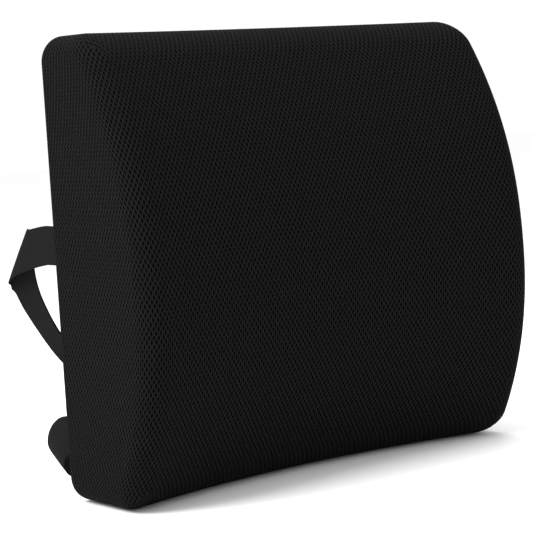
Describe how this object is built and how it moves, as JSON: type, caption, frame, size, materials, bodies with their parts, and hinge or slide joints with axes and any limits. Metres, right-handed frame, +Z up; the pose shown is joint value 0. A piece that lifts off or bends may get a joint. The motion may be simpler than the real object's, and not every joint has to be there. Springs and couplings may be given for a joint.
{
  "type": "lumbar support cushion",
  "caption": "Contoured foam back cushion in an air-mesh cover with curved side bolsters, a zipped back and elastic chair straps that close with side-release buckles.",
  "frame": {"origin": "centre of the flat strip of the lower face that the cushion stands on, mid-width", "axes": "+Z up, +X along the width, +Y towards the back that lies against the chair, so the curved front faces -Y"},
  "size_m": [0.364, 0.2039, 0.33],
  "materials": {
    "foam": "open-cell memory foam, matt",
    "liner_cloth": "thin white knit",
    "air_mesh": "3-D spacer knit with staggered round holes, matt",
    "back_cloth": "plain weave, matt",
    "binding_tape": "woven tape",
    "label_cloth": "satin ribbon, blank",
    "zip_tape": "woven tape",
    "zip_nylon": "moulded nylon",
    "zip_metal": "black enamel",
    "webbing": "ribbed elastic webbing",
    "buckle_plastic": "acetal, fine satin"
  },
  "bodies": {
    "cushion": {"foam_core": "foam", "inner_liner": "liner_cloth", "cover_front": "air_mesh", "back_panel_upper": "back_cloth", "back_panel_lower": "back_cloth", "edge_binding": "binding_tape", "care_label": "label_cloth", "zip_tape_upper": "zip_tape", "zip_tape_lower": "zip_tape", "zip_teeth_upper": "zip_nylon", "zip_teeth_lower": "zip_nylon", "zip_stop_closed": "zip_metal", "zip_stop_open": "zip_metal", "zip_end_patch_left": "zip_tape", "zip_end_patch_right": "zip_tape", "upper_anchor_left": "webbing", "upper_anchor_right": "webbing", "lower_anchor_left": "webbing", "lower_anchor_right": "webbing"},
    "zip_slider": {"zip_slider": "zip_metal"},
    "zip_pull": {"zip_pull": "zip_metal"},
    "upper_strap": {"upper_web_left": "webbing", "upper_web_right": "webbing", "upper_web_slack": "webbing", "upper_web_tail": "webbing", "upper_keeper": "webbing", "upper_socket": "buckle_plastic", "upper_socket_fold": "webbing"},
    "upper_plug": {"upper_plug": "buckle_plastic", "upper_plug_fold": "webbing"},
    "upper_prong_upper": {"upper_prong_upper": "buckle_plastic"},
    "upper_prong_lower": {"upper_prong_lower": "buckle_plastic"},
    "lower_strap": {"lower_web_left": "webbing", "lower_web_right": "webbing", "lower_web_slack": "webbing", "lower_web_tail": "webbing", "lower_keeper": "webbing", "lower_socket": "buckle_plastic", "lower_socket_fold": "webbing"},
    "lower_plug": {"lower_plug": "buckle_plastic", "lower_plug_fold": "webbing"},
    "lower_prong_upper": {"lower_prong_upper": "buckle_plastic"},
    "lower_prong_lower": {"lower_prong_lower": "buckle_plastic"}
  },
  "joints": [
    {"name": "zip_slide", "type": "slide", "parent": "cushion", "child": "zip_slider", "axis": [1, 0, 0], "range_m": [0, 0.29], "deforming": ["zip_teeth_upper", "zip_teeth_lower"]},
    {"name": "zip_pull_swing", "type": "hinge", "parent": "zip_slider", "child": "zip_pull", "pos_m": [-0.146, 0.02185, 0.112], "axis": [0, 0, 1], "range_deg": [0, 165]},
    {"name": "upper_strap_swing", "type": "hinge", "parent": "cushion", "child": "upper_strap", "pos_m": [0, 0.036, 0.183], "axis": [1, 0, 0], "range_deg": [0, 70], "deforming": ["upper_anchor_left", "upper_anchor_right"]},
    {"name": "upper_plug_slide", "type": "slide", "parent": "upper_strap", "child": "upper_plug", "axis": [1, 0, 0], "range_m": [0, 0.024], "deforming": ["upper_web_slack", "upper_prong_upper", "upper_prong_lower"]},
    {"name": "upper_prong_upper_squeeze", "type": "hinge", "parent": "upper_plug", "child": "upper_prong_upper", "pos_m": [-0.001, 0.0915, 0.07933], "axis": [0, -0.866, -0.5], "range_deg": [0, 10], "stiffness_Nm_per_rad": 0.1},
    {"name": "upper_prong_lower_squeeze", "type": "hinge", "parent": "upper_plug", "child": "upper_prong_lower", "pos_m": [-0.001, 0.1025, 0.06027], "axis": [0, -0.866, -0.5], "range_deg": [-10, 0], "stiffness_Nm_per_rad": 0.1},
    {"name": "lower_strap_swing", "type": "hinge", "parent": "cushion", "child": "lower_strap", "pos_m": [0, 0.025, 0.061], "axis": [1, 0, 0], "range_deg": [0, 33], "deforming": ["lower_anchor_left", "lower_anchor_right"]},
    {"name": "lower_plug_slide", "type": "slide", "parent": "lower_strap", "child": "lower_plug", "axis": [1, 0, 0], "range_m": [0, 0.024], "deforming": ["lower_web_slack", "lower_prong_upper", "lower_prong_lower"]},
    {"name": "lower_prong_upper_squeeze", "type": "hinge", "parent": "lower_plug", "child": "lower_prong_upper", "pos_m": [-0.001, 0.07062, 0.01435], "axis": [0, -0.2588, 0.9659], "range_deg": [0, 10], "stiffness_Nm_per_rad": 0.1},
    {"name": "lower_prong_lower_squeeze", "type": "hinge", "parent": "lower_plug", "child": "lower_prong_lower", "pos_m": [-0.001, 0.04938, 0.00865], "axis": [0, -0.2588, 0.9659], "range_deg": [-10, 0], "stiffness_Nm_per_rad": 0.1}
  ],
  "couplings": [
    {"joint": "upper_prong_lower_squeeze", "follows": "upper_prong_upper_squeeze", "ratio": -1},
    {"joint": "lower_prong_lower_squeeze", "follows": "lower_prong_upper_squeeze", "ratio": -1}
  ]
}
